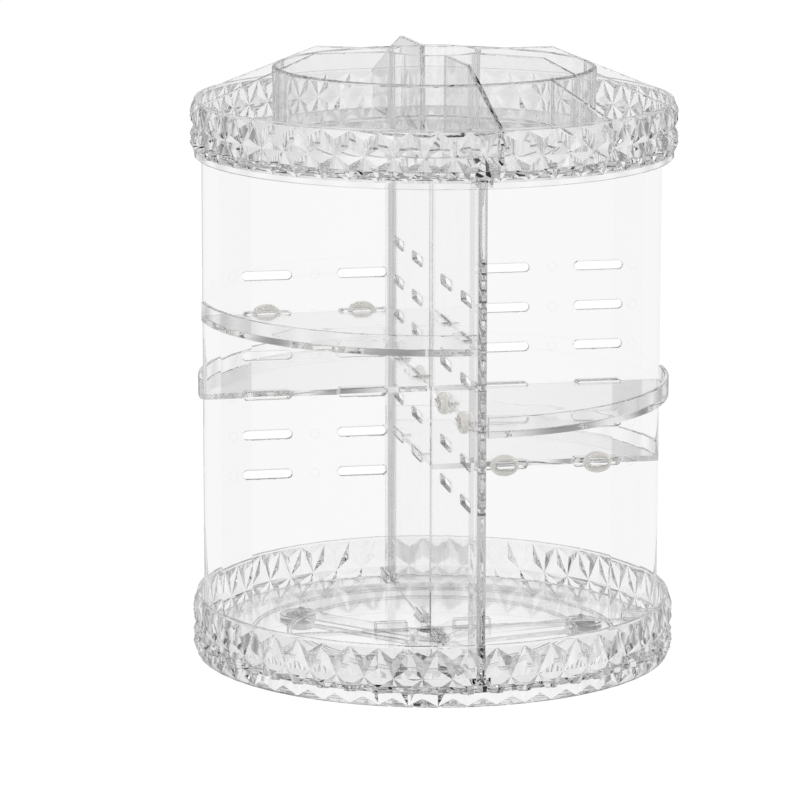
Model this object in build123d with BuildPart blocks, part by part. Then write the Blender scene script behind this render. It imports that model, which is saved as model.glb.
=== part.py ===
from build123d import *
import os
from math import cos, pi, sin, sqrt

# A clear rotating makeup organizer: a turntable base, two upright panels half-lapped into a cross,
# four plug-in quarter trays held by soft lock rings, and a lift-off top tray with dividers.
# Millimetres, +Z up, origin on the table under the axis. The panels lie along X and Y; -Y is the front.

# Rims with the diamond-cut facets
overall_radius = 110.0
facet_count = 52
facet_depth = 1.8
rim_wall = 2.0
rim_foot_gap = 4.0
base_rim_height = 27.7
base_lower_row_height = 0.6
base_star_height = 12.8
base_upper_row_height = 26.4
top_rim_bottom = 232.8
top_rim_height = 26.1
top_lower_row_height = 2.8
top_star_height = 13.7
top_upper_row_height = 24.8

# Base tray floor and its underside
base_floor_top = 12.6
base_floor_thickness = 2.5
boss_radius = 6.8
track_inner_gap = 10.0
track_outer_gap = 7.0
track_rib_width = 1.4
track_rib_height = 1.5

# Sockets that hold the panel edges, on the base floor and under the top tray
socket_height = 4.0
socket_wall = 1.6
socket_length = 16.0
socket_clearance = 0.3
centre_rib_radius = 12.0
centre_rib_length = 15.0

# Panels
panel_edge_count = 4
panel_web = 2.5
panel_edge_width = 8.0
panel_edge_thickness = 4.0
panel_edge_taper = 14.0
panel_edge_round = 1.4
lap_clearance = 0.15
slot_length = 22.6
slot_height = 4.0
inner_slot_radius = 33.0
outer_slot_inset = 29.2
slot_row_count = 6
first_row_height = 179.7
slot_row_step = 18.3

# Quarter trays: the start angle and the slot row of each, then their sizes
tray_places = {"front_left": (180, 2), "front_right": (270, 4), "back_right": (0, 6), "back_left": (90, 4)}
tray_inset = 3.0
tray_floor = 2.6
tray_height = 9.2
tray_rim_wall = 2.0
tray_panel_gap = 0.25
tab_side_clearance = 0.4
tab_height_clearance = 0.1
tab_root_length = 3.0
neck_width = 8.4
neck_height = 3.0
neck_stub_length = 1.4

# Lock rings
ring_length = 13.3
ring_width = 10.0
ring_thickness = 3.0
ring_bore_clearance = 0.1
ring_edge_round = 0.8

# Top tray floor and dividers
top_floor_bottom = 237.5
top_floor_thickness = 2.5
divider_turn = 4.0
divider_wall = 2.2
divider_height = 40.0
plateau_radius = 55.5
cup_radius = 21.0
inner_ring_radius = 73.0
full_divider_angles = (-90.0, 0.0, 90.0, 150.0, 180.0)
inner_divider_angles = (-45.0,)
outer_divider_angles = (-60.0, -30.0)

# Turntable spider, feet, balls and pivot
arm_angle = 13.0
arm_places = ("right", "back_left", "front")
arm_radius = 76.0
arm_width = 13.0
arm_bottom_height = 2.4
arm_thickness = 4.4
lobe_radius = 10.0
foot_radius = 7.0
foot_recess_depth = 1.0
foot_edge_round = 0.8
foot_clearance = 0.1
ball_radius = 2.5
ball_pocket_clearance = 0.3
ball_track_gap = 0.3
spider_hub_radius = 10.6
spider_hub_height = 8.5
hub_web_height = 4.5
running_clearance = 0.07
axial_clearance = 0.3
washer_radius = 8.2
washer_thickness = 0.8
washer_pocket_clearance = 0.6
screw_radius = 1.5
screw_length = 8.0
screw_head_radius = 3.2
screw_head_height = 1.7
screw_head_round = 0.8
driver_cross_length = 3.6
driver_cross_width = 0.9
driver_cross_depth = 1.0
screw_clearance = 0.04
screw_end_clearance = 0.3

# Counts, levels and radii that follow from the driving dimensions
arm_count = len(arm_places)
facet_step = 2 * pi / facet_count
corner_radius = overall_radius - facet_depth
inner_radius = corner_radius - rim_wall
panel_reach = inner_radius - socket_clearance
base_floor_bottom = base_floor_top - base_floor_thickness
base_rim_top = rim_foot_gap + base_rim_height
top_floor_top = top_floor_bottom + top_floor_thickness
top_rim_top = top_rim_bottom + top_rim_height
divider_top = top_floor_top + divider_height
panel_height = top_floor_bottom - base_floor_top
lap_height = base_floor_top + panel_height / 2
tray_radius = overall_radius - tray_inset
tray_edge = panel_edge_thickness / 2 + tray_panel_gap
tray_edge_reach = sqrt(tray_radius**2 - tray_edge**2)
tab_width = slot_length - 2 * tab_side_clearance
tab_height = slot_height - 2 * tab_height_clearance
tab_length = tray_edge + panel_web / 2
neck_length = ring_thickness + neck_stub_length
slot_radii = (inner_slot_radius, panel_reach - outer_slot_inset)
ball_centre = base_floor_bottom - ball_track_gap - ball_radius
foot_top = arm_bottom_height + foot_recess_depth
boss_bottom = hub_web_height - axial_clearance
washer_bottom = boss_bottom - washer_thickness


def row_height(row):
    """Height of a slot row's centre, counted from 1 at the top."""
    return first_row_height - (row - 1) * slot_row_step


def on_circle(radius, step, height):
    """Point on a rim circle, counted in facet steps from +X."""
    return Vector(radius * cos(step * facet_step), radius * sin(step * facet_step), height)


def pyramid(a, b, c):
    """Three faces of a low pyramid over one triangle, with its point out on the overall radius."""
    middle = (a + b + c) / 3
    reach = overall_radius / sqrt(middle.X**2 + middle.Y**2)
    point = Vector(middle.X * reach, middle.Y * reach, middle.Z)
    return [Face(Wire.make_polygon(side)) for side in ((a, b, point), (b, c, point), (c, a, point))]


def faceted_drum(bottom, lower_start, star, upper_end, height):
    """Solid drum whose side carries two rows of pyramids between two plain margins."""
    faces = []
    rings = [[on_circle(corner_radius, step + 0.5, bottom + level) for step in range(facet_count)]
             for level in (0.0, lower_start, upper_end, height)]
    stars = [on_circle(corner_radius, step, bottom + star) for step in range(facet_count)]
    foot, low, high, lip = rings
    for this in range(facet_count):
        after = (this + 1) % facet_count
        faces.append(Face(Wire.make_polygon((foot[this], foot[after], low[after], low[this]))))
        faces.append(Face(Wire.make_polygon((high[this], high[after], lip[after], lip[this]))))
        for row in (low, high):
            faces += pyramid(stars[this], stars[after], row[this])
            faces += pyramid(row[this], row[after], stars[after])
    faces.append(Face(Wire.make_polygon(foot)))
    faces.append(Face(Wire.make_polygon(lip)))
    return Solid(Shell(faces))


def panel_sockets(level, direction):
    """Rib pairs on a tray floor that hold the panels: at each outer edge and near the axis."""
    edge_ribs = (inner_radius - socket_length, socket_length + rim_wall / 2, panel_edge_thickness)
    centre_ribs = (centre_rib_radius, centre_rib_length, panel_web)
    with BuildSketch(Plane.XY.offset(level)) as plan:
        for start, length, held_thickness in (edge_ribs, centre_ribs):
            offset_from_panel = held_thickness / 2 + socket_clearance + socket_wall / 2
            with PolarLocations(start + length / 2, panel_edge_count):
                with Locations((0, offset_from_panel), (0, -offset_from_panel)):
                    Rectangle(length, socket_wall)
    extrude(plan.sketch, amount=direction * socket_height)


# Base tray: faceted rim, floor, panel sockets, pivot boss and ball track
with BuildPart() as base_tray:
    add(faceted_drum(rim_foot_gap, base_lower_row_height, base_star_height, base_upper_row_height,
                     base_rim_height))
    with BuildSketch(Plane.XY.offset(base_floor_top)):
        Circle(inner_radius)
    extrude(amount=base_rim_top - base_floor_top, mode=Mode.SUBTRACT)
    with BuildSketch(Plane.XY.offset(base_floor_bottom)):
        Circle(inner_radius)
    extrude(amount=rim_foot_gap - base_floor_bottom, mode=Mode.SUBTRACT)
    panel_sockets(base_floor_top, 1)
    with BuildSketch(Plane.XY.offset(base_floor_bottom)):
        for radius in (arm_radius + track_outer_gap, arm_radius - track_inner_gap):
            Circle(radius + track_rib_width / 2)
            Circle(radius - track_rib_width / 2, mode=Mode.SUBTRACT)
    extrude(amount=-track_rib_height)
    with BuildSketch(Plane.XY.offset(boss_bottom)):
        Circle(boss_radius)
    extrude(amount=base_floor_bottom - boss_bottom)
    with BuildSketch(Plane.XY.offset(washer_bottom)):
        Circle(screw_radius + screw_clearance)
    extrude(amount=screw_length + screw_end_clearance, mode=Mode.SUBTRACT)
base_tray.part.label = "base_tray"


# Turntable spider: hub, three arms with rounded ends, ball pockets above and foot recesses below
with BuildPart() as turntable_spider:
    with BuildSketch(Plane.XY.offset(arm_bottom_height)):
        Circle(spider_hub_radius)
        with PolarLocations(arm_radius / 2, arm_count, start_angle=arm_angle):
            Rectangle(arm_radius, arm_width)
        with PolarLocations(arm_radius, arm_count, start_angle=arm_angle):
            Circle(lobe_radius)
    extrude(amount=arm_thickness)
    with BuildSketch(Plane.XY.offset(arm_bottom_height)):
        Circle(spider_hub_radius)
    extrude(amount=spider_hub_height - arm_bottom_height)
    with BuildSketch(Plane.XY.offset(arm_bottom_height)):
        Circle(boss_radius + running_clearance)
    extrude(amount=spider_hub_height - arm_bottom_height, mode=Mode.SUBTRACT)
    with BuildSketch(Plane.XY.offset(arm_bottom_height)):
        with PolarLocations(arm_radius, arm_count, start_angle=arm_angle):
            Circle(foot_radius + foot_clearance)
    extrude(amount=foot_recess_depth, mode=Mode.SUBTRACT)
    with BuildSketch(Plane.XY.offset(arm_bottom_height)):
        Circle(washer_radius + washer_pocket_clearance)
    extrude(amount=hub_web_height - arm_bottom_height, mode=Mode.SUBTRACT)
    with BuildSketch(Plane.XY.offset(ball_centre - ball_radius)):
        with PolarLocations(arm_radius, arm_count, start_angle=arm_angle):
            Circle(ball_radius + ball_pocket_clearance)
    extrude(amount=arm_thickness, mode=Mode.SUBTRACT)
turntable_spider.part.label = "turntable_spider"


# Pivot washer and screw, which hold the boss of the base tray in the spider hub
with BuildPart() as pivot_washer:
    with BuildSketch(Plane.XY.offset(washer_bottom)):
        Circle(washer_radius)
        Circle(screw_radius + screw_clearance, mode=Mode.SUBTRACT)
    extrude(amount=washer_thickness)
pivot_washer.part.label = "pivot_washer"

with BuildPart() as pivot_screw:
    with BuildSketch(Plane.XY.offset(washer_bottom)):
        Circle(screw_head_radius)
    extrude(amount=-screw_head_height)
    fillet(pivot_screw.faces().sort_by(Axis.Z)[0].edges(), screw_head_round)
    with BuildSketch(Plane.XY.offset(washer_bottom - screw_head_height)):
        for turn in (0, 90):
            SlotOverall(driver_cross_length, driver_cross_width, rotation=turn)
    extrude(amount=driver_cross_depth, mode=Mode.SUBTRACT)
    with BuildSketch(Plane.XY.offset(washer_bottom)):
        Circle(screw_radius)
    extrude(amount=screw_length)
pivot_screw.part.label = "pivot_screw"


def rubber_foot(name, angle):
    """Soft pad pressed into the recess under one arm end."""
    with BuildPart() as foot:
        with BuildSketch():
            with PolarLocations(arm_radius, 1, start_angle=angle):
                Circle(foot_radius)
        extrude(amount=foot_top)
        fillet(foot.faces().sort_by(Axis.Z)[0].edges(), foot_edge_round)
    foot.part.label = name
    return foot.part


def bearing_ball(name, angle):
    """Steel ball in the pocket on one arm end."""
    with BuildPart() as ball:
        with PolarLocations(arm_radius, 1, start_angle=angle):
            with Locations((0, 0, ball_centre)):
                Sphere(ball_radius)
    ball.part.label = name
    return ball.part


def upright_panel(name, along, lap_side):
    """Panel with a thicker outer edge, slot rows and a half-height lap slot open to one end."""
    web = panel_web / 2
    edge = panel_edge_thickness / 2
    edge_start = panel_reach - panel_edge_width
    plan_plane = Plane(origin=(0, 0, base_floor_top), x_dir=along, z_dir=(0, 0, 1))
    face_plane = Plane(origin=(0, 0, 0), x_dir=along, z_dir=plan_plane.y_dir * -1)
    rows = [row_height(row) for row in range(1, slot_row_count + 1)]
    columns = [side * radius for side in (-1, 1) for radius in slot_radii]
    lap_end = base_floor_top if lap_side < 0 else base_floor_top + panel_height
    with BuildPart() as panel:
        with BuildSketch(plan_plane) as plan:
            with BuildLine():
                Polyline((0, web), (edge_start - panel_edge_taper, web), (edge_start, edge),
                         (panel_reach, edge), (panel_reach, 0))
                mirror(about=Plane.YZ)
                mirror(about=Plane.XZ)
            make_face()
            ends = plan.vertices().group_by(Axis.X)
            outer_corners = [corner for corner in ends[0] + ends[-1] if abs(corner.Y) > web]
            fillet(outer_corners, panel_edge_round)
        extrude(amount=panel_height)
        with BuildSketch(face_plane):
            with Locations([(column, row) for column in columns for row in rows]):
                SlotOverall(slot_length, slot_height)
            with Locations((0, (lap_height + lap_end) / 2)):
                Rectangle(panel_web + 2 * lap_clearance, abs(lap_height - lap_end))
        extrude(amount=panel_edge_thickness, both=True, mode=Mode.SUBTRACT)
    panel.part.label = name
    return panel.part


def tray_plane(start_angle, height):
    """Plane of a quarter tray, with X along the panel that its lock rings sit on."""
    return Plane.XY.offset(height).rotated((0, 0, start_angle))


def quarter_tray(name, start_angle, row):
    """Quarter-round tray with a rim on the arc, necked tabs on one edge and plain tabs on the other."""
    floor_bottom = row_height(row) - tray_floor / 2
    neck_bottom = row_height(row) - neck_height / 2
    inner_reach = sqrt((tray_radius - tray_rim_wall) ** 2 - tray_edge**2)
    middle = tray_radius * cos(pi / 4)
    inner_middle = (tray_radius - tray_rim_wall) * cos(pi / 4)
    with BuildPart() as tray:
        with BuildSketch(tray_plane(start_angle, floor_bottom)):
            with BuildLine():
                Line((tray_edge, tray_edge), (tray_edge_reach, tray_edge))
                ThreePointArc((tray_edge_reach, tray_edge), (middle, middle), (tray_edge, tray_edge_reach))
                Line((tray_edge, tray_edge_reach), (tray_edge, tray_edge))
            make_face()
        extrude(amount=tray_floor)
        with BuildSketch(tray_plane(start_angle, floor_bottom)):
            with BuildLine():
                Line((inner_reach, tray_edge), (tray_edge_reach, tray_edge))
                ThreePointArc((tray_edge_reach, tray_edge), (middle, middle), (tray_edge, tray_edge_reach))
                Line((tray_edge, tray_edge_reach), (tray_edge, inner_reach))
                ThreePointArc((tray_edge, inner_reach), (inner_middle, inner_middle),
                              (inner_reach, tray_edge))
            make_face()
        extrude(amount=tray_height)
        frame = tray_plane(start_angle, row_height(row))
        for radius in slot_radii:
            ring_side = Plane(origin=frame.from_local_coords((radius, tray_edge + tab_root_length, 0)),
                              x_dir=frame.x_dir, z_dir=frame.y_dir * -1)
            plain_side = Plane(origin=frame.from_local_coords((tray_edge + tab_root_length, radius, 0)),
                               x_dir=frame.y_dir, z_dir=frame.x_dir * -1)
            for side in (ring_side, plain_side):
                with BuildSketch(side):
                    SlotOverall(tab_width, tab_height)
                extrude(amount=tab_root_length + tab_length)
        with BuildSketch(tray_plane(start_angle, neck_bottom)):
            for radius in slot_radii:
                with Locations((radius, -(panel_web + neck_length) / 2)):
                    Rectangle(neck_width, neck_length)
        extrude(amount=neck_height)
    tray.part.label = name
    return tray.part


def lock_ring(name, start_angle, row, radius):
    """Oval soft ring pushed over a tray tab's neck, flat against the far side of the panel."""
    tray_frame = tray_plane(start_angle, row_height(row))
    seat = Plane(origin=tray_frame.from_local_coords((radius, -panel_web / 2, 0)),
                 x_dir=tray_frame.x_dir, z_dir=tray_frame.y_dir * -1)
    with BuildPart() as ring:
        with BuildSketch(seat):
            Ellipse(ring_length / 2, ring_width / 2)
        extrude(amount=ring_thickness)
        fillet(ring.edges(), ring_edge_round)
        with BuildSketch(seat):
            Rectangle(neck_width + 2 * ring_bore_clearance, neck_height + 2 * ring_bore_clearance)
        extrude(amount=ring_thickness, mode=Mode.SUBTRACT)
    ring.part.label = name
    return ring.part


# Top tray: faceted rim, floor, underside sockets, centre cup, ring wall and dividers cut to one cone
with BuildPart() as top_tray:
    add(faceted_drum(top_rim_bottom, top_lower_row_height, top_star_height, top_upper_row_height,
                     top_rim_height))
    with BuildSketch(Plane.XY.offset(top_floor_top)):
        Circle(inner_radius)
    extrude(amount=top_rim_top - top_floor_top, mode=Mode.SUBTRACT)
    with BuildSketch(Plane.XY.offset(top_floor_bottom)):
        Circle(inner_radius)
    extrude(amount=top_rim_bottom - top_floor_bottom, mode=Mode.SUBTRACT)
    panel_sockets(top_floor_bottom, -1)
    with BuildSketch(Plane.XY.offset(top_floor_top)):
        wall_end = inner_radius + rim_wall / 2
        for angles, start, end in ((full_divider_angles, cup_radius - divider_wall / 2, wall_end),
                                   (inner_divider_angles, cup_radius - divider_wall / 2, inner_ring_radius),
                                   (outer_divider_angles, inner_ring_radius - divider_wall / 2, wall_end)):
            for angle in angles:
                with PolarLocations((start + end) / 2, 1, start_angle=angle + divider_turn):
                    Rectangle(end - start, divider_wall)
        for radius in (inner_ring_radius, cup_radius):
            with BuildSketch(mode=Mode.ADD):
                Circle(radius)
                Circle(radius - divider_wall, mode=Mode.SUBTRACT)
    extrude(amount=divider_height)
    with BuildSketch(Plane.XZ):
        with BuildLine():
            Polyline((plateau_radius, divider_top), (inner_radius, top_rim_top),
                     (overall_radius, top_rim_top), (overall_radius, divider_top), close=True)
        make_face()
    revolve(axis=Axis.Z, mode=Mode.SUBTRACT)
top_tray.part.label = "top_tray"

pieces = [base_tray.part, turntable_spider.part, pivot_washer.part, pivot_screw.part, top_tray.part]
pieces.append(upright_panel("side_to_side_panel", (1, 0, 0), 1))
pieces.append(upright_panel("front_to_back_panel", (0, 1, 0), -1))
for arm, place in enumerate(arm_places):
    angle = arm_angle + arm * 360 / arm_count
    pieces.append(rubber_foot(f"{place}_rubber_foot", angle))
    pieces.append(bearing_ball(f"{place}_bearing_ball", angle))
for place, (start_angle, row) in tray_places.items():
    pieces.append(quarter_tray(f"{place}_tray", start_angle, row))
    for position, radius in zip(("inner", "outer"), slot_radii):
        pieces.append(lock_ring(f"{place}_{position}_lock_ring", start_angle, row, radius))

os.makedirs("parts", exist_ok=True)
for piece in pieces:
    export_step(piece, f"parts/{piece.label}.step")
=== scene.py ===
"""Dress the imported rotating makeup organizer: clear plastic, soft lock rings, turntable hardware, studio."""

from math import cos, pi, radians, sin

import bmesh
import bpy
from mathutils import Matrix, Vector
from mathutils.geometry import intersect_point_line


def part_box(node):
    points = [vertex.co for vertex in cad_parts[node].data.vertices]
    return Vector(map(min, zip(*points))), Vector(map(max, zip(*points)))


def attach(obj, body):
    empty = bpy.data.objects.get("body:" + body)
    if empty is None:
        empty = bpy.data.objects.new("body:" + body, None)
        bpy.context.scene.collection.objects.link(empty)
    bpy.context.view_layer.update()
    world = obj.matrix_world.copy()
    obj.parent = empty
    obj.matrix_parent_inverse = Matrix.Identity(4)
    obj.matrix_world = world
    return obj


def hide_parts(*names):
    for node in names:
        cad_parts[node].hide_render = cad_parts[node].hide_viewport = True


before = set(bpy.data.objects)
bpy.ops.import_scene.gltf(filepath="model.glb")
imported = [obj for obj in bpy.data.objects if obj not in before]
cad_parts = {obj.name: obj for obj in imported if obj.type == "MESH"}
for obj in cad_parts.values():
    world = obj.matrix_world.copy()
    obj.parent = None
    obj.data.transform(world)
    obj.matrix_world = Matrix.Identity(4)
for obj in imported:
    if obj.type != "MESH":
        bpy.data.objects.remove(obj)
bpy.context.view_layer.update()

bl_info = {
    "name": "Rotating makeup organizer",
    "version": (1, 0, 0),
    "blender": (4, 5, 0),
    "location": "3D View > Sidebar > Organizer",
    "description": "Builds the looks of a clear rotating makeup organizer on its packed CAD frame",
    "category": "Object",
}

MM = 0.001

# Pieces of the frame, with the turn of each panel and quarter tray in degrees
PANELS = {"side_to_side_panel": 0.0, "front_to_back_panel": 90.0}
TRAYS = {"front_left": 180.0, "front_right": 270.0, "back_right": 0.0, "back_left": 90.0}
RING_PLACES = ("inner", "outer")
BEARING_PLACES = ("right", "back_left", "front")
CLEAR_PLASTIC = "clear_moulded_polystyrene"

# Merging of the CAD meshes, and the least angles of edges that are rounded and of those that shade sharp
MERGE_DISTANCE = 0.002 * MM
FLAT_ANGLE = radians(0.4)
SQUARE_ANGLE = radians(62.0)
CREASE_ANGLE = radians(18.0)

# Faces at least this large shade flat, with sharp edges all round
LARGE_AREA = 600 * MM * MM

# Rounding of square edges; a profile of 0.5 is a circle's arc
ROUNDING_TRIES = 6
ROUNDING_STEPS = 3
ROUND_PROFILE = 0.5

# Room that an edge needs, as a multiple of the rounding's width, and what counts as beside it
CROWDED_REACH = 2.1
BESIDE_COSINE = 0.5

# Signs of a folded face: its triangles cover more than its area, or it turns too far at an edge
FOLD_EXCESS = 1.02
FOLD_ANGLE = radians(112.0)

# How far a fold keeps edges square, as a multiple of the rounding's width
FOLD_REACH = 1.5

# Section of a lock ring, as (share of the way from bore to rim, share of the thickness)
RING_PROFILE = ((0.0, 0.10), (0.0, 0.72), (0.16, 0.94), (0.42, 1.0), (0.68, 0.92), (0.90, 0.68), (1.0, 0.36),
                (0.97, 0.0), (0.12, 0.0))
RING_STEPS = 48
MARK_STEPS = 28

# A higher power makes the ring's hole squarer
BORE_POWER = 8

# Size of the fine unevenness in each material
SILICONE_CLOUD = 2.5 * MM
SILICONE_GRAIN = 0.4 * MM
RUBBER_GRAIN = 0.5 * MM
BALL_GRAIN = 2 * MM
ZINC_GRAIN = 0.8 * MM

# Least and most roughness of the bare metals
BALL_ROUGHNESS = (0.05, 0.15)
ZINC_ROUGHNESS = (0.2, 0.4)

# Paper floor, just under the feet: its share of even white, and how bright that is
FLOOR_DROP = 0.3 * MM
FLOOR_STEPS = 96
PAPER_COLOUR = "#E6E6E6"
WHITE_SHARE = 0.9
WHITE_STRENGTH = 1.04

# What the plastic shows straight through it, and in its reflections, as (height, shade)
BACKDROP_SHADES = ((-1.0, 0.9), (-0.6, 0.93), (-0.3, 0.95), (0.13, 0.95), (0.26, 0.85), (0.38, 0.75),
                   (0.5, 0.3), (1.0, 0.3))
ROOM_SHADES = ((-1.0, 0.7), (-0.5, 0.86), (-0.25, 0.88), (0.1, 0.88), (0.2, 0.82), (0.26, 0.92),
               (0.42, 0.85), (0.56, 0.12), (1.0, 0.12))

# Light and dark stands round the room, seen only in reflections
ROOM_WAVES = 16.0
ROOM_CREST = radians(78.75)
ROOM_LOW = 0.35

# Light of the room on matt pieces
MATT_LIGHT = 0.85

# Soft lights, in metres, and the point that they face
KEY_SIZE = 1.4
KEY_PLACE = (-1.0, -0.9, 1.8)
FILL_SIZE = 1.2
FILL_PLACE = (1.3, -0.6, 1.2)
LIGHT_AIM = (0.0, 0.0, 0.14)

# Camera sensor in millimetres, far limit of the view in metres, and bounces that clear plastic needs
SENSOR_WIDTH = 36.0
VIEW_LIMIT = 40.0
LIGHT_BOUNCES = 96


def linear(hex_colour):
    """Scene-linear colour of an sRGB hex value."""
    shades = [int(hex_colour[start:start + 2], 16) / 255 for start in (1, 3, 5)]
    return tuple(shade / 12.92 if shade <= 0.04045 else ((shade + 0.055) / 1.055) ** 2.4 for shade in shades)


def add_node(tree, kind, settings=None, values=None, links=None):
    """One node with its settings, its socket values and its incoming links."""
    node = tree.nodes.new(kind)
    for name, value in (settings or {}).items():
        setattr(node, name, value)
    for socket, value in (values or {}).items():
        node.inputs[socket].default_value = value
    for socket, source in (links or {}).items():
        tree.links.new(source, node.inputs[socket])
    return node


def new_material(name):
    """Empty node material and its tree."""
    material = bpy.data.materials.new(name)
    material.use_nodes = True
    material.node_tree.nodes.clear()
    return material, material.node_tree


def finish_material(tree, shader, inside=None):
    """Joins a shader, and what fills the body if anything does, to the material's output."""
    links = {"Surface": shader.outputs[0]}
    if inside:
        links["Volume"] = inside.outputs[0]
    add_node(tree, "ShaderNodeOutputMaterial", links=links)


def set_material(node_names, material):
    """Gives CAD nodes one material."""
    for name in node_names:
        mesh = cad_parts[name].data
        mesh.materials.clear()
        mesh.materials.append(material)


def add_object(name, data):
    """Object in the scene's own collection."""
    made = bpy.data.objects.new(name, data)
    bpy.context.scene.collection.objects.link(made)
    return made


def plain_copy(maker, name):
    """Plain mesh object of an object with modifiers, as evaluated; the maker object is removed."""
    evaluated = maker.evaluated_get(bpy.context.evaluated_depsgraph_get())
    mesh = bpy.data.meshes.new_from_object(evaluated)
    mesh.name = name
    bpy.data.objects.remove(maker)
    return add_object(name, mesh)


class ClearPlasticSettings(bpy.types.PropertyGroup):
    tint: bpy.props.FloatVectorProperty(
        name="Tint", description="Colour that a wall of the clear plastic lets through",
        default=linear("#FFFFFF"), min=0.0, max=1.0, subtype="COLOR")
    haze: bpy.props.FloatProperty(
        name="Haze", description="How strongly the plastic takes up light, for each metre of its path",
        default=0.2, min=0.0)
    refraction: bpy.props.FloatProperty(
        name="Refraction", description="Index of refraction of the clear plastic",
        default=1.55, min=1.0, max=2.0)
    polish: bpy.props.FloatProperty(
        name="Polish roughness", description="Roughness of the moulded, polished faces",
        default=0.0, min=0.0, max=1.0)
    edge_round: bpy.props.FloatProperty(
        name="Edge rounding", description="Width of the rounding on the square edges",
        default=0.55 * MM, min=0.05 * MM, unit="LENGTH")
    ripple_size: bpy.props.FloatProperty(
        name="Ripple size", description="Width of the slow ripples left by moulding",
        default=16 * MM, min=1 * MM, unit="LENGTH")
    ripple_depth: bpy.props.FloatProperty(
        name="Ripple depth", description="Depth of the slow moulding ripples",
        default=0.04 * MM, min=0.0, unit="LENGTH")


class LockRingSettings(bpy.types.PropertyGroup):
    length: bpy.props.FloatProperty(
        name="Length", description="Long axis of an oval lock ring",
        default=13.3 * MM, min=1 * MM, unit="LENGTH")
    width: bpy.props.FloatProperty(
        name="Width", description="Short axis of an oval lock ring",
        default=10.0 * MM, min=1 * MM, unit="LENGTH")
    thickness: bpy.props.FloatProperty(
        name="Thickness", description="Height of the ring's rounded crown",
        default=3.0 * MM, min=0.2 * MM, unit="LENGTH")
    bore_length: bpy.props.FloatProperty(
        name="Bore length", description="Long side of the hole for the tab's neck",
        default=8.7 * MM, min=1 * MM, unit="LENGTH")
    bore_width: bpy.props.FloatProperty(
        name="Bore width", description="Short side of the hole for the tab's neck",
        default=4.4 * MM, min=0.5 * MM, unit="LENGTH")
    seat_gap: bpy.props.FloatProperty(
        name="Seat gap", description="Air film between the ring and the panel",
        default=0.08 * MM, min=0.0, unit="LENGTH")
    colour: bpy.props.FloatVectorProperty(
        name="Colour", description="Colour of the milky silicone",
        default=linear("#CFCDCA"), min=0.0, max=1.0, subtype="COLOR")
    scatter: bpy.props.FloatProperty(
        name="Scatter", description="How far light spreads inside the silicone",
        default=3 * MM, min=0.0, unit="LENGTH")


class PinMarkSettings(bpy.types.PropertyGroup):
    radius: bpy.props.FloatProperty(
        name="Radius", description="Radius of an ejector pin's mark",
        default=2.2 * MM, min=0.5 * MM, unit="LENGTH")
    line_width: bpy.props.FloatProperty(
        name="Line width", description="Width of the line round a mark",
        default=0.28 * MM, min=0.05 * MM, unit="LENGTH")
    inner_radius: bpy.props.FloatProperty(
        name="Inner place", description="Distance of the inner marks from the axis",
        default=55.0 * MM, unit="LENGTH")
    outer_radius: bpy.props.FloatProperty(
        name="Outer place", description="Distance of the outer marks from the axis",
        default=92.5 * MM, unit="LENGTH")
    first_row: bpy.props.FloatProperty(
        name="First row", description="Height of the highest row of marks",
        default=179.7 * MM, unit="LENGTH")
    row_step: bpy.props.FloatProperty(
        name="Row step", description="Distance between two rows of marks",
        default=18.3 * MM, unit="LENGTH")
    row_count: bpy.props.IntProperty(
        name="Rows", description="Number of rows of marks",
        default=6, min=1)
    face_offset: bpy.props.FloatProperty(
        name="Face offset", description="Distance of the inner marks from the panel's middle plane",
        default=1.27 * MM, unit="LENGTH")
    slope_offset: bpy.props.FloatProperty(
        name="Slope offset", description="Distance of the outer marks from the panel's middle plane",
        default=1.73 * MM, unit="LENGTH")
    slope: bpy.props.FloatProperty(
        name="Slope", description="Lean of the panel's face under the outer marks, towards its thick edge",
        default=radians(3.07), subtype="ANGLE")
    strength: bpy.props.FloatProperty(
        name="Strength", description="How much of the light behind a mark it stops",
        default=0.14, min=0.0, max=1.0)


class HardwareSettings(bpy.types.PropertyGroup):
    foot_colour: bpy.props.FloatVectorProperty(
        name="Foot colour", description="Colour of the soft rubber feet",
        default=linear("#9B9B9A"), min=0.0, max=1.0, subtype="COLOR")
    steel_colour: bpy.props.FloatVectorProperty(
        name="Steel colour", description="Colour of the polished bearing balls",
        default=linear("#C9CACC"), min=0.0, max=1.0, subtype="COLOR")
    zinc_colour: bpy.props.FloatVectorProperty(
        name="Zinc colour", description="Colour of the zinc plated screw and washer",
        default=linear("#B9BCC0"), min=0.0, max=1.0, subtype="COLOR")


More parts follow.
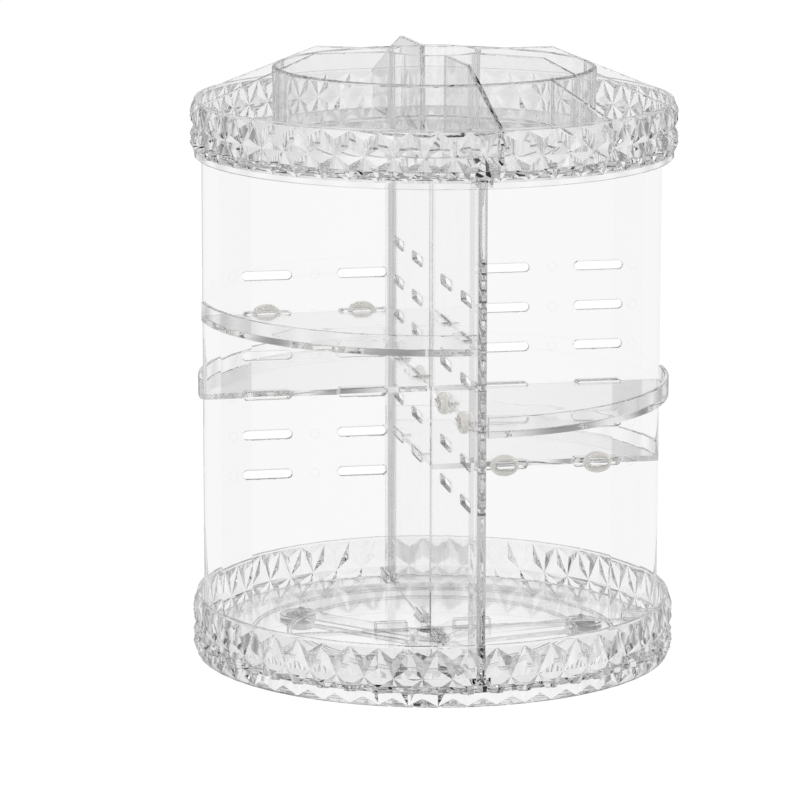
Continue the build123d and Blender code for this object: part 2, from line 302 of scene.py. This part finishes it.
class StageSettings(bpy.types.PropertyGroup):
    floor_radius: bpy.props.FloatProperty(
        name="Floor radius", description="Radius of the pale floor",
        default=8.0, min=0.5, unit="LENGTH")
    key_power: bpy.props.FloatProperty(
        name="Key power", description="Power of the soft light above on the left",
        default=9.0, min=0.0, unit="POWER")
    fill_power: bpy.props.FloatProperty(
        name="Fill power", description="Power of the soft light on the right",
        default=4.0, min=0.0, unit="POWER")
    lens: bpy.props.FloatProperty(
        name="Lens", description="Focal length in millimetres on a 36 mm sensor",
        default=204.884, min=1.0)
    camera_distance: bpy.props.FloatProperty(
        name="Camera distance", description="Distance of the camera from the axis",
        default=2034.68 * MM, unit="LENGTH")
    camera_height: bpy.props.FloatProperty(
        name="Camera height", description="Height of the camera above the table",
        default=528.9 * MM, unit="LENGTH")
    camera_side: bpy.props.FloatProperty(
        name="Camera side angle", description="How far the camera stands to the left of the front",
        default=radians(11.671), subtype="ANGLE")
    camera_yaw: bpy.props.FloatProperty(
        name="Camera yaw", description="Turn of the camera away from the axis",
        default=radians(-0.426), subtype="ANGLE")
    camera_pitch: bpy.props.FloatProperty(
        name="Camera pitch", description="How far the camera looks down",
        default=radians(11.374), subtype="ANGLE")
    camera_roll: bpy.props.FloatProperty(
        name="Camera roll", description="Roll of the camera",
        default=radians(0.101), subtype="ANGLE")


def unevenness(tree, size, detail, roughness=0.5):
    """Cloudy pattern of the given size, fixed to the piece."""
    place = add_node(tree, "ShaderNodeTexCoord")
    noise = add_node(tree, "ShaderNodeTexNoise",
                     values={"Scale": 1 / size, "Detail": detail, "Roughness": roughness},
                     links={"Vector": place.outputs["Object"]})
    return noise.outputs["Fac"]


def uneven_normal(tree, height, strength, depth):
    """Normal of a face that rises and falls with a pattern."""
    bump = add_node(tree, "ShaderNodeBump", values={"Strength": strength, "Distance": depth},
                    links={"Height": height})
    return bump.outputs["Normal"]


def clouded_colour(tree, pattern, colour, dark, low=0.0, high=1.0):
    """Colour that a pattern darkens to a share of itself, between a low and a high level of the pattern."""
    shade = add_node(tree, "ShaderNodeValToRGB", links={"Fac": pattern})
    first, last = shade.color_ramp.elements
    first.position = low
    first.color = (*(dark * part for part in colour), 1.0)
    last.position = high
    last.color = (*colour, 1.0)
    return shade.outputs["Color"]


def clear_polystyrene(settings):
    """Clear moulded polystyrene: polished, with slow ripples from moulding that bend its highlights."""
    material, tree = new_material(CLEAR_PLASTIC)
    ripple = unevenness(tree, settings.ripple_size, detail=1.0, roughness=0.3)
    skin = uneven_normal(tree, ripple, strength=1.0, depth=settings.ripple_depth)
    shader = add_node(tree, "ShaderNodeBsdfPrincipled",
                      values={"Base Color": (*settings.tint, 1.0), "Roughness": settings.polish,
                              "IOR": settings.refraction, "Transmission Weight": 1.0},
                      links={"Normal": skin})
    inside = add_node(tree, "ShaderNodeVolumeAbsorption",
                      values={"Color": (0.0, 0.0, 0.0, 1.0), "Density": settings.haze})
    finish_material(tree, shader, inside)
    return material


def milky_silicone(settings):
    """Soft moulded silicone: milky, with a matt skin and faint clouding that softens the shading."""
    material, tree = new_material("milky_silicone_rubber")
    cloud = unevenness(tree, SILICONE_CLOUD, detail=3.0)
    colour = clouded_colour(tree, cloud, settings.colour, dark=0.94, low=0.3, high=0.7)
    grain = unevenness(tree, SILICONE_GRAIN, detail=2.0)
    skin = uneven_normal(tree, grain, strength=0.15, depth=0.05 * MM)
    shader = add_node(tree, "ShaderNodeBsdfPrincipled",
                      values={"Roughness": 0.42, "IOR": 1.41, "Subsurface Weight": 1.0,
                              "Subsurface Radius": (1.0, 1.0, 0.95), "Subsurface Scale": settings.scatter},
                      links={"Base Color": colour, "Normal": skin})
    finish_material(tree, shader)
    return material


def scuffed_polystyrene(settings):
    """Line round an ejector pin's mark: a hair of scuffed plastic, which dims what is behind it a little."""
    material, tree = new_material("scuffed_polystyrene_line")
    shader = add_node(tree, "ShaderNodeBsdfPrincipled",
                      values={"Base Color": (*linear("#A8A8A8"), 1.0), "Roughness": 0.5,
                              "Alpha": settings.strength})
    finish_material(tree, shader)
    return material


def foot_rubber(settings):
    """Moulded grey rubber: matt, with a fine sandy grain from the mould."""
    material, tree = new_material("moulded_grey_rubber")
    grain = unevenness(tree, RUBBER_GRAIN, detail=4.0)
    colour = clouded_colour(tree, grain, settings.foot_colour, dark=0.8)
    skin = uneven_normal(tree, grain, strength=0.3, depth=0.1 * MM)
    shader = add_node(tree, "ShaderNodeBsdfPrincipled", values={"Roughness": 0.75},
                      links={"Base Color": colour, "Normal": skin})
    finish_material(tree, shader)
    return material


def metal(name, colour, roughness, grain_size):
    """Bare or plated steel: its roughness varies between two values with a fine grain of the given size."""
    material, tree = new_material(name)
    smooth, rough = roughness
    polish = add_node(tree, "ShaderNodeMapRange", values={"To Min": smooth, "To Max": rough},
                      links={"Value": unevenness(tree, grain_size, detail=3.0)})
    shader = add_node(tree, "ShaderNodeBsdfPrincipled",
                      values={"Base Color": (*colour, 1.0), "Metallic": 1.0},
                      links={"Roughness": polish.outputs["Result"]})
    finish_material(tree, shader)
    return material


def circle(count):
    """Evenly spaced points of a circle of radius 1, as (x, y)."""
    angles = [2 * pi * step / count for step in range(count)]
    return [(cos(angle), sin(angle)) for angle in angles]


def swept_mesh(name, sections, closed):
    """Mesh that joins each section of a round form to the next; a closed section also joins its own ends."""
    shape = bmesh.new()
    rows = [[shape.verts.new(point) for point in section] for section in sections]
    for here, after in zip(rows, rows[1:] + rows[:1]):
        for row in range(len(here) if closed else len(here) - 1):
            following = (row + 1) % len(here)
            shape.faces.new((here[row], here[following], after[following], after[row]))
    mesh = bpy.data.meshes.new(name)
    shape.to_mesh(mesh)
    shape.free()
    return mesh


def ring_form(settings):
    """One oval lock ring with a rounded crown and a slot-shaped hole, lying on z = 0."""
    sections = []
    for x, y in circle(RING_STEPS):
        corner = (abs(x) ** BORE_POWER + abs(y) ** BORE_POWER) ** (-1 / BORE_POWER)
        bore = Vector((settings.bore_length / 2 * x, settings.bore_width / 2 * y)) * corner
        rim = Vector((settings.length / 2 * x, settings.width / 2 * y))
        sections.append([(*bore.lerp(rim, out), settings.thickness * rise) for out, rise in RING_PROFILE])
    return swept_mesh("lock_ring_form", sections, closed=True)


def mark_form(settings):
    """Line round one ejector pin's mark, lying on z = 0."""
    reaches = (settings.radius - settings.line_width, settings.radius)
    sections = [[(reach * x, reach * y, 0.0) for reach in reaches] for x, y in circle(MARK_STEPS)]
    return swept_mesh("pin_mark_form", sections, closed=False)


def scatter_tree(name, form, material):
    """Node tree that sets a form upright on every point, at the point's turn; also its scale's identifier."""
    tree = bpy.data.node_groups.new(name, "GeometryNodeTree")
    tree.interface.new_socket("Geometry", in_out="INPUT", socket_type="NodeSocketGeometry")
    tree.interface.new_socket("Geometry", in_out="OUTPUT", socket_type="NodeSocketGeometry")
    scale = tree.interface.new_socket("Form scale", in_out="INPUT", socket_type="NodeSocketFloat")
    start = add_node(tree, "NodeGroupInput")
    source = add_node(tree, "GeometryNodeObjectInfo", {"transform_space": "ORIGINAL"}, {"Object": form})
    turn = add_node(tree, "GeometryNodeInputNamedAttribute", {"data_type": "FLOAT"}, {"Name": "turn"})
    upright = add_node(tree, "ShaderNodeCombineXYZ", values={"X": pi / 2},
                       links={"Z": turn.outputs["Attribute"]})
    spread = add_node(tree, "GeometryNodeInstanceOnPoints",
                      links={"Points": start.outputs["Geometry"], "Instance": source.outputs["Geometry"],
                             "Rotation": upright.outputs["Vector"], "Scale": start.outputs["Form scale"]})
    real = add_node(tree, "GeometryNodeRealizeInstances", links={"Geometry": spread.outputs["Instances"]})
    painted = add_node(tree, "GeometryNodeSetMaterial", values={"Material": material},
                       links={"Geometry": real.outputs["Geometry"]})
    add_node(tree, "NodeGroupOutput", links={"Geometry": painted.outputs["Geometry"]})
    return tree, scale.identifier


def scatter(name, places, form_mesh, material):
    """Plain mesh of one form repeated at (point, turn) places."""
    form = add_object(f"{name}_form", form_mesh)
    points = bpy.data.meshes.new(f"{name}_points")
    points.from_pydata([point for point, _ in places], [], [])
    turns = points.attributes.new("turn", "FLOAT", "POINT")
    turns.data.foreach_set("value", [turn for _, turn in places])
    maker = add_object(f"{name}_maker", points)
    modifier = maker.modifiers.new("Scatter", "NODES")
    modifier.node_group, scale = scatter_tree(name, form, material)
    modifier[scale] = 1.0
    piece = plain_copy(maker, name)
    bpy.data.objects.remove(form)
    for face in piece.data.polygons:
        face.use_smooth = True
    return piece


def nearest_on_edge(edge, point):
    """Place on an edge that is nearest to a point."""
    start, end = [corner.co for corner in edge.verts]
    share = intersect_point_line(point, start, end)[1]
    return start.lerp(end, min(max(share, 0.0), 1.0))


def crowded(edge, reach):
    """True if another edge of the same two faces runs beside this one within the reach."""
    start, end = [corner.co for corner in edge.verts]
    middle = (start + end) / 2
    along = (end - start).normalized()
    for face in edge.link_faces:
        for other in face.edges:
            if set(other.verts) & set(edge.verts):
                continue
            gap = nearest_on_edge(other, middle) - middle
            if gap.length < reach and abs(gap.dot(along)) < BESIDE_COSINE * gap.length:
                return True
    return False


def folded_spots(shape):
    """Low and high corners of each spot where rounding made a face cross itself or fold over another."""
    cover = dict.fromkeys(shape.faces, 0.0)
    for loops in shape.calc_loop_triangles():
        first, second, third = (loop.vert.co for loop in loops)
        cover[loops[0].face] += (second - first).cross(third - first).length / 2
    many_sided = [face for face in shape.faces if len(face.verts) > 4]
    folds = [face for face in many_sided if cover[face] > FOLD_EXCESS * face.calc_area()]
    folds += [edge for edge in shape.edges if edge.calc_face_angle() > FOLD_ANGLE]
    spots = []
    for fold in folds:
        places = list(zip(*(corner.co for corner in fold.verts)))
        spots.append((Vector(map(min, places)), Vector(map(max, places))))
    return spots


def near_spot(edge, spot, reach):
    """True if an edge passes a spot within the reach."""
    low, high = spot
    place = nearest_on_edge(edge, (low + high) / 2)
    return all(low[axis] - reach < place[axis] < high[axis] + reach for axis in range(3))


def rounded_shape(shape, square, width):
    """Copy of a shape with its square edges rounded, apart from those whose rounding would fold a face."""
    shape.edges.index_update()
    for _ in range(ROUNDING_TRIES):
        trial = shape.copy()
        trial.edges.ensure_lookup_table()
        chosen = [trial.edges[edge.index] for edge in square]
        bmesh.ops.bevel(trial, geom=chosen, offset=width, offset_type="OFFSET", segments=ROUNDING_STEPS,
                        profile=ROUND_PROFILE, affect="EDGES")
        spots = folded_spots(trial)
        reach = FOLD_REACH * width
        clear = [edge for edge in square if not any(near_spot(edge, spot, reach) for spot in spots)]
        if len(clear) == len(square):
            break
        trial.free()
        square = clear
    shape.free()
    return trial


def rounded_copy(name, body, material, width):
    """Merged copy of a clear CAD node with its square edges rounded, which stands for the node."""
    shape = bmesh.new()
    shape.from_mesh(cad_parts[name].data)
    bmesh.ops.remove_doubles(shape, verts=shape.verts, dist=MERGE_DISTANCE)
    bmesh.ops.dissolve_limit(shape, angle_limit=FLAT_ANGLE, verts=shape.verts, edges=shape.edges)
    square = [edge for edge in shape.edges
              if edge.calc_face_angle() > SQUARE_ANGLE and not crowded(edge, CROWDED_REACH * width)]
    shape = rounded_shape(shape, square, width)
    large = {face for face in shape.faces if face.calc_area() > LARGE_AREA}
    for face in shape.faces:
        face.smooth = True
    for edge in shape.edges:
        edge.smooth = edge.calc_face_angle() < CREASE_ANGLE and large.isdisjoint(edge.link_faces)
    mesh = bpy.data.meshes.new(f"{name}_rounded")
    shape.to_mesh(mesh)
    shape.free()
    # The CAD mesh's own normals don't fit the rounded faces
    mesh.attributes.remove(mesh.attributes["custom_normal"])
    mesh.materials.append(material)
    maker = add_object(f"{name}_maker", mesh)
    maker.modifiers.new("Even flat faces", "WEIGHTED_NORMAL").keep_sharp = True
    piece = plain_copy(maker, f"{name}_rounded")
    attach(piece, body)
    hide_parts(name)


def clear_pieces(settings, body, names):
    """Rounded clear pieces on one body, in the plastic that all clear pieces share."""
    plastic = bpy.data.materials.get(CLEAR_PLASTIC) or clear_polystyrene(settings)
    for name in names:
        rounded_copy(name, body, plastic, settings.edge_round)


class ORGANIZER_OT_base_tray(bpy.types.Operator):
    """Finish the turntable base tray and its spider in clear polystyrene with rounded edges"""
    bl_idname = "organizer.base_tray"
    bl_label = "Base tray"

    def execute(self, context):
        clear_pieces(context.scene.organizer_plastic, "carousel", ["base_tray"])
        clear_pieces(context.scene.organizer_plastic, "base", ["turntable_spider"])
        return {"FINISHED"}


class ORGANIZER_OT_top_tray(bpy.types.Operator):
    """Finish the lift-off top tray in clear polystyrene with rounded edges"""
    bl_idname = "organizer.top_tray"
    bl_label = "Top tray"

    def execute(self, context):
        clear_pieces(context.scene.organizer_plastic, "top", ["top_tray"])
        return {"FINISHED"}


class ORGANIZER_OT_panels(bpy.types.Operator):
    """Finish the two slotted panels in clear polystyrene with rounded edges"""
    bl_idname = "organizer.panels"
    bl_label = "Panels"

    def execute(self, context):
        clear_pieces(context.scene.organizer_plastic, "carousel", PANELS)
        return {"FINISHED"}


class ORGANIZER_OT_quarter_trays(bpy.types.Operator):
    """Finish the plug-in quarter trays in clear polystyrene with rounded edges"""
    bl_idname = "organizer.quarter_trays"
    bl_label = "Quarter trays"

    def execute(self, context):
        names = [f"{place}_tray" for place in TRAYS]
        clear_pieces(context.scene.organizer_plastic, "carousel", names)
        return {"FINISHED"}


class ORGANIZER_OT_lock_rings(bpy.types.Operator):
    """Set a soft silicone ring over each ringed tab, against the far side of its panel"""
    bl_idname = "organizer.lock_rings"
    bl_label = "Lock rings"

    def execute(self, context):
        settings = context.scene.organizer_rings
        places = []
        nodes = []
        for tray, start_angle in TRAYS.items():
            outward = Matrix.Rotation(radians(start_angle), 3, "Z") @ Vector((0.0, -1.0, 0.0))
            for place in RING_PLACES:
                name = f"{tray}_{place}_lock_ring"
                low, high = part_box(name)
                thickness = (high - low).dot(Vector(map(abs, outward)))
                seat = (low + high) / 2 + outward * (settings.seat_gap - thickness / 2)
                places.append((seat, radians(start_angle)))
                nodes.append(name)
        rings = scatter("silicone_lock_rings", places, ring_form(settings), milky_silicone(settings))
        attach(rings, "carousel")
        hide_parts(*nodes)
        return {"FINISHED"}


class ORGANIZER_OT_pin_marks(bpy.types.Operator):
    """Add the faint round marks of the ejector pins beside the panel slots"""
    bl_idname = "organizer.pin_marks"
    bl_label = "Ejector pin marks"

    def execute(self, context):
        settings = context.scene.organizer_pins
        places = []
        for panel_angle in PANELS.values():
            turn = radians(panel_angle)
            along = Matrix.Rotation(turn, 3, "Z") @ Vector((1.0, 0.0, 0.0))
            normal = Matrix.Rotation(turn, 3, "Z") @ Vector((0.0, -1.0, 0.0))
            for row in range(settings.row_count):
                height = Vector((0.0, 0.0, settings.first_row - row * settings.row_step))
                for side in (-1, 1):
                    inner = along * side * settings.inner_radius + normal * settings.face_offset + height
                    outer = along * side * settings.outer_radius + normal * settings.slope_offset + height
                    places.append((inner, turn))
                    places.append((outer, turn - side * settings.slope))
        marks = scatter("ejector_pin_marks", places, mark_form(settings), scuffed_polystyrene(settings))
        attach(marks, "carousel")
        return {"FINISHED"}


class ORGANIZER_OT_turntable(bpy.types.Operator):
    """Finish the rubber feet, bearing balls, pivot screw and washer"""
    bl_idname = "organizer.turntable"
    bl_label = "Turntable hardware"

    def execute(self, context):
        settings = context.scene.organizer_hardware
        steel = metal("polished_bearing_steel", settings.steel_colour, BALL_ROUGHNESS, BALL_GRAIN)
        zinc = metal("bright_zinc_plated_steel", settings.zinc_colour, ZINC_ROUGHNESS, ZINC_GRAIN)
        set_material([f"{place}_rubber_foot" for place in BEARING_PLACES], foot_rubber(settings))
        set_material([f"{place}_bearing_ball" for place in BEARING_PLACES], steel)
        set_material(["pivot_screw", "pivot_washer"], zinc)
        return {"FINISHED"}


def result(tree, operation, *terms, clamp=False):
    """Output of a math node, whose terms are numbers or other nodes' outputs."""
    node = add_node(tree, "ShaderNodeMath", {"operation": operation, "use_clamp": clamp})
    for number, term in enumerate(terms):
        if isinstance(term, bpy.types.NodeSocket):
            tree.links.new(term, node.inputs[number])
        else:
            node.inputs[number].default_value = term
    return node.outputs[0]


def mixed_colour(tree, share, first, second):
    """Output of a mix node, whose colours come in at its sockets 6 and 7 and leave at its socket 2."""
    node = add_node(tree, "ShaderNodeMix", {"data_type": "RGBA"}, links={0: share, 6: first, 7: second})
    return node.outputs[2]


def paper_floor(settings):
    """White paper sweep: matt and even, white to the eye, with a soft shadow under the object."""
    material, tree = new_material("white_paper_sweep")
    path = add_node(tree, "ShaderNodeLightPath")
    matt = add_node(tree, "ShaderNodeBsdfDiffuse", values={"Color": (*linear(PAPER_COLOUR), 1.0)})
    white = add_node(tree, "ShaderNodeEmission",
                     values={"Color": (*linear("#FFFFFF"), 1.0), "Strength": WHITE_STRENGTH})
    share = result(tree, "MULTIPLY", path.outputs["Is Camera Ray"], WHITE_SHARE)
    mixed = add_node(tree, "ShaderNodeMixShader",
                     links={"Fac": share, 1: matt.outputs[0], 2: white.outputs[0]})
    finish_material(tree, mixed)
    floor = bpy.data.meshes.new("floor")
    shape = bmesh.new()
    bmesh.ops.create_circle(shape, cap_ends=True, segments=FLOOR_STEPS, radius=settings.floor_radius)
    bmesh.ops.translate(shape, verts=shape.verts, vec=(0.0, 0.0, -FLOOR_DROP))
    shape.to_mesh(floor)
    shape.free()
    floor.materials.append(material)
    made = add_object("floor", floor)
    made.visible_transmission = False
    made.visible_glossy = False


def shade_by_height(tree, level, stops):
    """Grey shade from (height, shade) stops, where heights from -1 (down) to 1 (up) are levels 0 to 1."""
    ramp = add_node(tree, "ShaderNodeValToRGB", links={"Fac": level})
    elements = ramp.color_ramp.elements
    elements.remove(elements[1])
    for number, (height, shade) in enumerate(stops):
        position = 0.5 + 0.5 * height
        stop = elements[0] if number == 0 else elements.new(position)
        stop.position = position
        stop.color = (shade, shade, shade, 1.0)
    return ramp.outputs["Color"]


def seen_rays(tree, path):
    """1 for a ray seen in a reflection or through the plastic, 0 for one that lights a matt piece."""
    bent = result(tree, "MAXIMUM", path.outputs["Is Glossy Ray"], path.outputs["Is Transmission Ray"])
    matt = result(tree, "MINIMUM", path.outputs["Diffuse Depth"], 1.0)
    return result(tree, "SUBTRACT", bent, matt, clamp=True)


def studio_world():
    """White room: even light on matt pieces, a pale backdrop behind the plastic, waves in its reflections."""
    world = bpy.data.worlds.new("white_studio")
    world.use_nodes = True
    tree = world.node_tree
    tree.nodes.clear()
    place = add_node(tree, "ShaderNodeTexCoord")
    parts = add_node(tree, "ShaderNodeSeparateXYZ", links={"Vector": place.outputs["Generated"]})
    level = add_node(tree, "ShaderNodeMapRange", values={"From Min": -1.0, "From Max": 1.0},
                     links={"Value": parts.outputs["Z"]})
    backdrop = shade_by_height(tree, level.outputs["Result"], BACKDROP_SHADES)
    room = shade_by_height(tree, level.outputs["Result"], ROOM_SHADES)
    around = result(tree, "ARCTAN2", parts.outputs["Y"], parts.outputs["X"])
    phase = result(tree, "MULTIPLY_ADD", around, ROOM_WAVES, -ROOM_WAVES * ROOM_CREST)
    swing = add_node(tree, "ShaderNodeMapRange",
                     values={"From Min": -1.0, "From Max": 1.0, "To Min": ROOM_LOW},
                     links={"Value": result(tree, "COSINE", phase)})
    waved = add_node(tree, "ShaderNodeVectorMath", {"operation": "SCALE"},
                     links={0: room, "Scale": swing.outputs["Result"]})
    path = add_node(tree, "ShaderNodeLightPath")
    mirrored = result(tree, "MINIMUM", path.outputs["Glossy Depth"], 1.0)
    pattern = mixed_colour(tree, mirrored, backdrop, waved.outputs[0])
    plain = add_node(tree, "ShaderNodeMapRange", values={"To Min": MATT_LIGHT},
                     links={"Value": path.outputs["Is Camera Ray"]})
    colour = mixed_colour(tree, seen_rays(tree, path), plain.outputs["Result"], pattern)
    light = add_node(tree, "ShaderNodeBackground", links={"Color": colour})
    add_node(tree, "ShaderNodeOutputWorld", links={"Surface": light.outputs[0]})
    bpy.context.scene.world = world


def soft_light(name, power, size, place):
    """Square soft light aimed at the middle of the object."""
    lamp = bpy.data.lights.new(name, "AREA")
    lamp.energy = power
    lamp.size = size
    made = add_object(name, lamp)
    made.location = place
    aim = Vector(LIGHT_AIM) - made.location
    made.rotation_euler = aim.to_track_quat("-Z", "Y").to_euler()


def photo_camera(settings):
    """Camera at the photograph's place and angle."""
    turn = settings.camera_side + settings.camera_yaw
    level = Vector((sin(turn), cos(turn), 0.0))
    right = Vector((cos(turn), -sin(turn), 0.0))
    rise = Vector((0.0, 0.0, 1.0))
    ahead = level * cos(settings.camera_pitch) - rise * sin(settings.camera_pitch)
    up = level * sin(settings.camera_pitch) + rise * cos(settings.camera_pitch)
    x_axis = right * cos(settings.camera_roll) + up * sin(settings.camera_roll)
    y_axis = up * cos(settings.camera_roll) - right * sin(settings.camera_roll)
    turned = Matrix((x_axis, y_axis, -ahead)).transposed().to_4x4()
    place = Vector((-settings.camera_distance * sin(settings.camera_side),
                    -settings.camera_distance * cos(settings.camera_side), settings.camera_height))
    camera = add_object("photo_camera", bpy.data.cameras.new("photo_camera"))
    camera.matrix_world = Matrix.Translation(place) @ turned
    camera.data.lens = settings.lens
    camera.data.sensor_width = SENSOR_WIDTH
    camera.data.clip_end = VIEW_LIMIT
    bpy.context.scene.camera = camera


class ORGANIZER_OT_stage(bpy.types.Operator):
    """Set the paper floor, the studio light and the camera"""
    bl_idname = "organizer.stage"
    bl_label = "Stage"

    def execute(self, context):
        settings = context.scene.organizer_stage
        paper_floor(settings)
        studio_world()
        soft_light("key_light", settings.key_power, KEY_SIZE, KEY_PLACE)
        soft_light("fill_light", settings.fill_power, FILL_SIZE, FILL_PLACE)
        photo_camera(settings)
        scene = context.scene
        scene.view_settings.view_transform = "Standard"
        scene.cycles.max_bounces = LIGHT_BOUNCES
        scene.cycles.transmission_bounces = LIGHT_BOUNCES
        scene.cycles.glossy_bounces = LIGHT_BOUNCES
        scene.cycles.blur_glossy = 0.0
        return {"FINISHED"}


OPERATORS = (
    ORGANIZER_OT_base_tray,
    ORGANIZER_OT_top_tray,
    ORGANIZER_OT_panels,
    ORGANIZER_OT_quarter_trays,
    ORGANIZER_OT_lock_rings,
    ORGANIZER_OT_pin_marks,
    ORGANIZER_OT_turntable,
    ORGANIZER_OT_stage,
)
SETTINGS = {
    "organizer_plastic": ClearPlasticSettings,
    "organizer_rings": LockRingSettings,
    "organizer_pins": PinMarkSettings,
    "organizer_hardware": HardwareSettings,
    "organizer_stage": StageSettings,
}


class ORGANIZER_PT_panel(bpy.types.Panel):
    """Steps and settings of the makeup organizer"""
    bl_idname = "ORGANIZER_PT_panel"
    bl_label = "Makeup organizer"
    bl_space_type = "VIEW_3D"
    bl_region_type = "UI"
    bl_category = "Organizer"

    def draw(self, context):
        for operator in OPERATORS:
            self.layout.operator(operator.bl_idname)
        for settings, group in SETTINGS.items():
            for name in group.__annotations__:
                self.layout.prop(getattr(context.scene, settings), name)


CLASSES = (*SETTINGS.values(), *OPERATORS, ORGANIZER_PT_panel)


def register():
    for made in CLASSES:
        bpy.utils.register_class(made)
    for name, group in SETTINGS.items():
        setattr(bpy.types.Scene, name, bpy.props.PointerProperty(type=group))


def unregister():
    for name in SETTINGS:
        delattr(bpy.types.Scene, name)
    for made in reversed(CLASSES):
        bpy.utils.unregister_class(made)


def main():
    register()
    bpy.ops.organizer.base_tray()
    bpy.ops.organizer.top_tray()
    bpy.ops.organizer.panels()
    bpy.ops.organizer.quarter_trays()
    bpy.ops.organizer.lock_rings()
    bpy.ops.organizer.pin_marks()
    bpy.ops.organizer.turntable()
    bpy.ops.organizer.stage()


if __name__ == "__main__":
    main()
